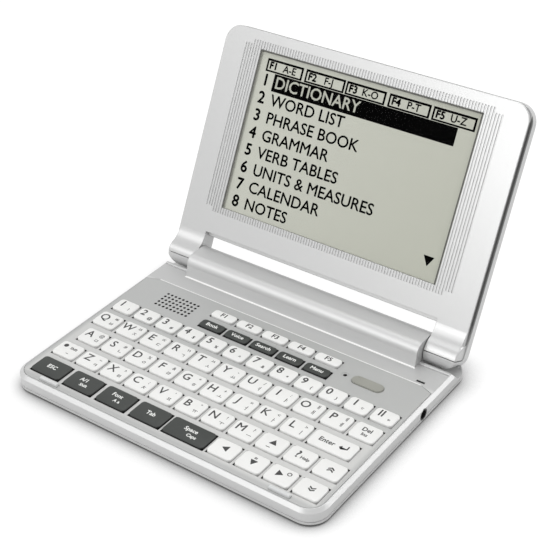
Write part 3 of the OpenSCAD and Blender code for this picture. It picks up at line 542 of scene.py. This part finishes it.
# %% Key maker
flange_width, flange_height = 0.5 * millimetre, 0.6 * millimetre
flange_corner = 0.5 * millimetre
cap_foot = 0.55 * millimetre
key_corner, key_rim = 1.5 * millimetre, 0.38 * millimetre
letter_pitch, letter_width = 12.12 * millimetre, 10.6 * millimetre
sharp_from = math.radians(40)


def poured(into, shape):
    """Adds one bmesh to another and frees it."""
    carrier = bpy.data.meshes.new("carrier")
    shape.to_mesh(carrier)
    shape.free()
    into.from_mesh(carrier)
    bpy.data.meshes.remove(carrier)


def rounded(shape, edges, radius, steps=3):
    """Rounds these edges of a bmesh."""
    bmesh.ops.bevel(shape, geom=edges, offset=radius, offset_type="OFFSET", affect="EDGES",
                    segments=steps, profile=0.5, material=-1)


def rounded_block(low, high, corner, rim, steps=5):
    """A block with round upright corners and a soft top edge."""
    shape = bmesh.new()
    bmesh.ops.create_cube(shape, size=1.0)
    size = Vector(high) - Vector(low)
    bmesh.ops.scale(shape, verts=shape.verts, vec=size)
    bmesh.ops.translate(shape, verts=shape.verts, vec=(Vector(low) + Vector(high)) / 2)
    upright = [e for e in shape.edges if abs(e.verts[0].co.z - e.verts[1].co.z) > size.z / 2]
    rounded(shape, upright, corner, steps)
    if rim:
        top = [e for e in shape.edges if any(f.normal.z > 0.9 for f in e.link_faces)]
        rounded(shape, top, rim)
    return shape


def key_cap(x, y, width, depth, foot, top):
    """One key: cap and flange."""
    reach_x, reach_y = width / 2, depth / 2
    cap = rounded_block((x - reach_x, y - reach_y, foot + cap_foot),
                        (x + reach_x, y + reach_y, top), key_corner, key_rim)
    flange = rounded_block((x - reach_x - flange_width, y - reach_y - flange_width, foot),
                           (x + reach_x + flange_width, y + reach_y + flange_width,
                            foot + flange_height), flange_corner, rim=0, steps=2)
    poured(cap, flange)
    return cap


def finished_piece(name, shape, finish, body):
    """A mesh object with this finish that rides on a body."""
    shape.normal_update()
    mesh = bpy.data.meshes.new(name)
    shape.to_mesh(mesh)
    shape.free()
    mesh.shade_smooth()
    mesh.set_sharp_from_angle(angle=sharp_from)
    mesh.materials.append(finish.material)
    piece = bpy.data.objects.new(name, mesh)
    scene.collection.objects.link(piece)
    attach(piece, body)
    return piece


# %% Key finishes
rim_low, rim_high = 7.55 * millimetre, 7.9 * millimetre


def key_plastic(name, tone, dullness, sides):
    """Moulded plastic with painted shade: darker by this factor below the rim of the key."""
    finish = Finish(name, Specular_IOR_Level=0.45)
    fine = finish.noise(0.25 * millimetre)
    drift = finish.noise(12 * millimetre)
    face = finish.between(rim_low, rim_high, finish.height) * (1 - sides) + sides
    colour = finish.blend((0.92 + fine * 0.03 + drift * 0.05) * face, (0, 0, 0), tone)
    return finish.wear(Base_Color=colour, Roughness=dullness + fine * 0.08,
                       Normal=finish.bump(fine, 0.006 * millimetre))


def is_dark(node):
    """The menu keys and those of the bottom row are dark."""
    return node.startswith(("menu_key", "mode_key", "space_key"))


# Painted shade: the sides of the white keys are a little darker, those of the dark keys much
# darker.
key_white = key_plastic("key_white", (0.9, 0.9, 0.885), 0.38, 0.95)
key_dark = key_plastic("key_dark", (0.03, 0.034, 0.031), 0.42, 0.15)

# %% Mould every key
key_nodes = [n for n in nodes if "key" in n and n not in ("keyboard_deck", "key_mat")]
places = {}
for node in key_nodes:
    low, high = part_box(node)
    width = high.x - low.x - 2 * flange_width
    depth = high.y - low.y - 2 * flange_width
    y = (low.y + high.y) / 2
    if node.startswith("letter_keys"):
        count = round((width - letter_width) / letter_pitch) + 1
        leftmost = low.x + flange_width + letter_width / 2
        places[node] = [(leftmost + i * letter_pitch, y, high.z) for i in range(count)]
        width = letter_width
    else:
        places[node] = [((low.x + high.x) / 2, y, high.z)]
    row = bmesh.new()
    for x, y, top in places[node]:
        poured(row, key_cap(x, y, width, depth, low.z, top))
    dark = is_dark(node)
    moulded = finished_piece(node + "_cap", row, key_dark if dark else key_white,
                             node + "_body")
    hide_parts(node)
print("keys moulded:", sum(len(p) for p in places.values()))

# %% [markdown]
# ## Plugs of the knuckles
#
# Each knuckle of the lid is hollow, for the pin and the display's lead, and a small plug
# closes it at its outer end. A cone that is turned onto the hinge axis makes the plug. It
# narrows outwards, to stay inside the rounded corner of the lid, and its rim is bevelled.

# %% Two plugs
plug_inner, plug_outer = 66.3 * millimetre, 67.6 * millimetre
inner_radius, outer_radius = 4.3 * millimetre, 3.2 * millimetre
plug_rim = 0.2 * millimetre
for side, label in ((-1, "left"), (1, "right")):
    plug = bmesh.new()
    bmesh.ops.create_cone(plug, cap_ends=True, segments=64, radius1=inner_radius,
                          radius2=outer_radius, depth=plug_outer - plug_inner)
    rim = [e for e in plug.edges if all(v.co.z > 0 for v in e.verts)]
    rounded(plug, rim, plug_rim)
    bmesh.ops.rotate(plug, verts=plug.verts, cent=(0, 0, 0),
                     matrix=Matrix.Rotation(side * math.pi / 2, 3, "Y"))
    middle = Vector((side * (plug_inner + plug_outer) / 2, hinge_place.y, hinge_place.z))
    bmesh.ops.translate(plug, verts=plug.verts, vec=middle)
    finished_piece("knuckle_plug_" + label, plug, lid_silver, "lid")
print("plugs at mm:", plug_inner / millimetre, "to", plug_outer / millimetre)

# %% [markdown]
# ## Print on the keys
#
# The marks are pad-printed in dark grey, or white on the dark keys. Blender's text makes
# them: each mark is a text that becomes a mesh first and is then laid just above the top
# of its key. Letters sit at the upper left, with the small marks of a second alphabet at
# the right, as on any keyboard for two languages.

# %% Lettering
ink_gap, layer_gap = 0.01, 0.0002
capital_height, weld = 0.7, 0.0005


def lettering(text, height, turn, align):
    """Flat letters round the origin, this tall in metres."""
    curve = bpy.data.curves.new("lettering", "FONT")
    curve.body = text
    curve.size = 1
    curve.resolution_u = 3
    curve.align_x, curve.align_y = align, "CENTER"
    writer = bpy.data.objects.new("lettering", curve)
    scene.collection.objects.link(writer)
    bpy.context.view_layer.update()
    seen = writer.evaluated_get(bpy.context.evaluated_depsgraph_get())
    flat = bpy.data.meshes.new_from_object(seen)
    bpy.data.objects.remove(writer)
    bpy.data.curves.remove(curve)
    shape = bmesh.new()
    shape.from_mesh(flat)
    bpy.data.meshes.remove(flat)
    bmesh.ops.remove_doubles(shape, verts=shape.verts, dist=weld)
    scale = height / capital_height
    bmesh.ops.scale(shape, verts=shape.verts, vec=(scale, scale, 1))
    bmesh.ops.rotate(shape, verts=shape.verts, cent=(0, 0, 0),
                     matrix=Matrix.Rotation(math.radians(turn), 3, "Z"))
    return shape


def mark(into, text, x, y, z, height, boldness=0.0, turn=0, align="CENTER"):
    """Lays a mark at a place in millimetres; a bold one four times, a hair apart."""
    shape = lettering(text, height * millimetre, turn, align)
    sides = ((-1, 0), (1, 0), (0, -1), (0, 1)) if boldness else ((0, 0),)
    for layer, (right, up) in enumerate(sides):
        copy = shape.copy()
        shift = (x + right * boldness, y + up * boldness, z + layer * layer_gap)
        bmesh.ops.translate(copy, verts=copy.verts, vec=[v * millimetre for v in shift])
        poured(into, copy)
    shape.free()


# %% [markdown]
# The words and marks of each key are listed with their place from the middle of the key,
# across and along, and their height, all in millimetres. Each letter key has three marks
# in the same three spots, and there a fourth number says how bold they are. Anywhere else
# a fourth number turns the mark by so many degrees.

# %% What each key says
letters = {
    "letter_keys_top": ("QWERTYUIOP", "ㅂㅈㄷㄱㅅㅛㅕㅑㅐㅔ", "ㅃㅉㄸㄲㅆ-/:ㅒㅖ"),
    "letter_keys_middle": ("ASDFGHJKL", "ㅁㄴㅇㄹㅎㅗㅓㅏㅣ", "@#%&*+=<>"),
    "letter_keys_bottom": ("ZXCVBNM", "ㅋㅌㅊㅍㅠㅜㅡ", "~^;'\"!?"),
}
letter_spots = ((-2.2, 0.8, 3.6, 0.08), (2.7, -1.6, 1.8, 0.03), (2.9, 1.9, 1.6, 0.03))
menu_words = ("Book", "Voice", "Search", "Learn", "Menu")
single = {
    **{"number_key_%d" % (i + 1): [(digit, -2.2, 0.8, 3.4), (sign, 2.2, -1.2, 1.5)]
       for i, (digit, sign) in enumerate(zip("1234567890", "!@#$%^&*()"))},
    "number_key_11": [("Ⅰ", -1.8, 0.8, 3.3), ("-", 2.0, -0.8, 1.6), ("_", 2.0, 0.6, 1.6)],
    "number_key_12": [("Ⅱ", -1.8, 0.8, 3.3), ("=", 2.2, -1.0, 1.4)],
    **{"function_key_%d" % (i + 1): [("F%d" % (i + 1), 0, 0.1, 2.3)] for i in range(5)},
    **{"menu_key_%d" % (i + 1): [(word, 0, 0.0, 1.8)] for i, word in enumerate(menu_words)},
    "mode_key_1": [("ESC", 0, 0.2, 1.9)],
    "mode_key_2": [("A/1", -0.6, 1.2, 1.8), ("Shift", 1.0, -1.6, 1.4)],
    "mode_key_3": [("Font", -0.5, 1.2, 1.8), ("A a", 1.2, -1.6, 1.5)],
    "mode_key_4": [("Tab", 0, 0.2, 1.9)],
    "space_key": [("Space", 0.2, 1.2, 1.8), ("Caps", 2.2, -1.6, 1.5)],
    "delete_key": [("Del", 0, 1.1, 2.0), ("Ins", 0.3, -1.5, 1.6)],
    "enter_key": [("Enter", -2.6, 0, 2.1), ("↵", 4.2, -0.1, 3.0)],
    "shift_key": [("●", -2.6, 1.6, 1.7), ("Shift", 1.6, 1.3, 1.3), ("_", 1.0, -1.2, 1.6)],
    "up_key": [("▲", 0.3, 0.5, 2.2), ("_", -0.4, -1.1, 2.2)],
    "help_key": [("?", -1.4, 0.4, 3.6), ("Help", 2.0, -0.4, 1.4)],
    "left_key": [("◀", 0, 0.2, 2.2)],
    "right_key": [("▶", -0.8, 0.2, 2.2), ("O", 2.3, 1.8, 1.7)],
    "down_key": [("▼", 0.2, -0.4, 2.2), ("=", 0, 2.0, 1.6)],
    "page_up_key": [("»", 0, 0.2, 3.6, 90)],
    "page_down_key": [("«", 0, 0.2, 3.6, 90)],
}
print("kinds of key:", len(letters) + len(single))

# %% Print it
ink_grey = two_tone("ink_grey", (0.02, 0.02, 0.02), (0.04, 0.04, 0.04), 0.2 * millimetre, 2,
                    Roughness=0.55)
ink_white = two_tone("ink_white", (0.75, 0.76, 0.74), (0.88, 0.89, 0.87), 0.2 * millimetre,
                     2, Roughness=0.5)
for node, spots in places.items():
    print_mesh = bmesh.new()
    for i, spot in enumerate(spots):
        x, y, top = (v / millimetre for v in spot)
        z = top + ink_gap
        if node in letters:
            for alphabet, (dx, dy, height, boldness) in zip(letters[node], letter_spots):
                mark(print_mesh, alphabet[i], x + dx, y + dy, z, height, boldness)
        else:
            for text, dx, dy, height, *turn in single[node]:
                mark(print_mesh, text, x + dx, y + dy, z, height, 0.04 + 0.02 * height, *turn)
    finished_piece(node + "_print", print_mesh, ink_white if is_dark(node) else ink_grey,
                   node + "_body")
print("keys printed:", len(places))

# %% [markdown]
# ## Picture on the display
#
# The display shows a numbered list with plain generic words, five index tabs above it, a
# dark bar over the chosen line, and a mark that says there is more below. It is drawn flat
# in the display's own plane, across and down from the window's upper left corner, and
# then laid just in front of the liquid crystal sheet.

# %% Where the display is
window_width, window_height = 102 * millimetre, 67.1 * millimetre
window_low = 23.8 * millimetre
crystal_depth, picture_gap = 0.5 * millimetre, 0.02 * millimetre
upright_lid = Matrix.Translation(hinge_place) @ Matrix.Rotation(-lid_tilt, 4, "X")
flat_to_lid = Matrix(((1, 0, 0, -window_width / 2), (0, 0, -1, -crystal_depth - picture_gap),
                      (0, 1, 0, window_low + window_height), (0, 0, 0, 1)))
on_display = upright_lid @ flat_to_lid


def bar(into, left, top, right, bottom):
    """A filled rectangle in display millimetres, down from the top."""
    shape = bmesh.new()
    bmesh.ops.create_grid(shape, x_segments=1, y_segments=1, size=0.5)
    bmesh.ops.scale(shape, verts=shape.verts, vec=((right - left) * millimetre,
                                                   (bottom - top) * millimetre, 1))
    bmesh.ops.translate(shape, verts=shape.verts, vec=((left + right) / 2 * millimetre,
                                                       -(top + bottom) / 2 * millimetre, 0))
    poured(into, shape)


# %% Draw the tabs
dark_pixels, light_pixels = bmesh.new(), bmesh.new()
tabs = ((4.0, 21.6, "A-E"), (22.9, 41.6, "F-J"), (42.2, 60.4, "K-O"), (61.8, 80.3, "P-T"),
        (81.3, 100.0, "U-Z"))
tab_top, tab_foot = 2.6, 7.9
top_line, foot_line, left_line, right_line = 0.9, 0.7, 0.8, 0.9
tab_middle, tab_height = -5.35, 2.9
number_at, index_at = 3.4, 11.2
number_bold, index_bold = 0.19, 0.09
for i, (left, right, index) in enumerate(tabs):
    bar(dark_pixels, left, tab_top, right, tab_top + top_line)
    bar(dark_pixels, left, tab_foot - foot_line, right, tab_foot)
    bar(dark_pixels, left, tab_top, left + left_line, tab_foot)
    bar(dark_pixels, right - right_line, tab_top, right, tab_foot)
    mark(dark_pixels, "F%d" % (i + 1), left + number_at, tab_middle, 0, tab_height,
         number_bold)
    mark(dark_pixels, index, left + index_at, tab_middle, 0, tab_height, index_bold)

# %% Draw the list
chosen_bar = (8.9, 8.1, 93.2, 15.2)
words = ("DICTIONARY", "WORD LIST", "PHRASE BOOK", "GRAMMAR", "VERB TABLES",
         "UNITS & MEASURES", "CALENDAR", "NOTES")
first_line, line_pitch, word_height = 11.6, 7.3, 4.7
number_x, word_x = 5.3, 9.9
figure_bold, word_bold = 0.2, 0.11
more_x, more_y, more_height = 96, -59.8, 3.6
bar(dark_pixels, *chosen_bar)
for i, word in enumerate(words):
    down = -(first_line + i * line_pitch)
    mark(dark_pixels, str(i + 1), number_x, down, 0, word_height, figure_bold)
    mark(light_pixels if i == 0 else dark_pixels, word, word_x, down,
         ink_gap if i == 0 else 0, word_height, word_bold, 0, "LEFT")
mark(dark_pixels, "▼", more_x, more_y, 0, more_height)
for pixels in (dark_pixels, light_pixels):
    bmesh.ops.transform(pixels, matrix=on_display, verts=pixels.verts)
pixel_dark = two_tone("pixel_dark", (0.001, 0.001, 0.001), (0.003, 0.003, 0.003),
                      0.4 * millimetre, 1, Roughness=0.6, Specular_IOR_Level=0.0)
pixel_light = two_tone("pixel_light", (0.5, 0.51, 0.44), (0.56, 0.57, 0.5),
                       0.4 * millimetre, 1, Roughness=0.6, Specular_IOR_Level=0.1)
finished_piece("display_marks", dark_pixels, pixel_dark, "lid")
finished_piece("display_chosen_line", light_pixels, pixel_light, "lid")
print("lines on the display:", len(words), "and tabs:", len(tabs))

# %% [markdown]
# Along the left, top and right of the clear window lies a thin dark strip: painted shade,
# where the frame shades the display.

# %% Border of the window
border_gap = 0.86 * millimetre
border_sides = ((0.1, 0.1, 0.7, 67.0), (0.1, 0.1, 101.9, 0.65), (101.3, 0.1, 101.9, 67.0))
border = bmesh.new()
for edge in border_sides:
    bar(border, *edge)
on_window = on_display @ Matrix.Translation((0, 0, border_gap))
bmesh.ops.transform(border, matrix=on_window, verts=border.verts)
# Painted shade along three edges of the window, where the frame shades it.
window_shade_grey = two_tone("window_shade_grey", (0.1, 0.1, 0.09), (0.14, 0.14, 0.13),
                       0.4 * millimetre, 1, Roughness=0.5, Specular_IOR_Level=0.2)
finished_piece("window_shade_strip", border, window_shade_grey, "lid")
print("border above the picture in mm:", border_gap / millimetre)
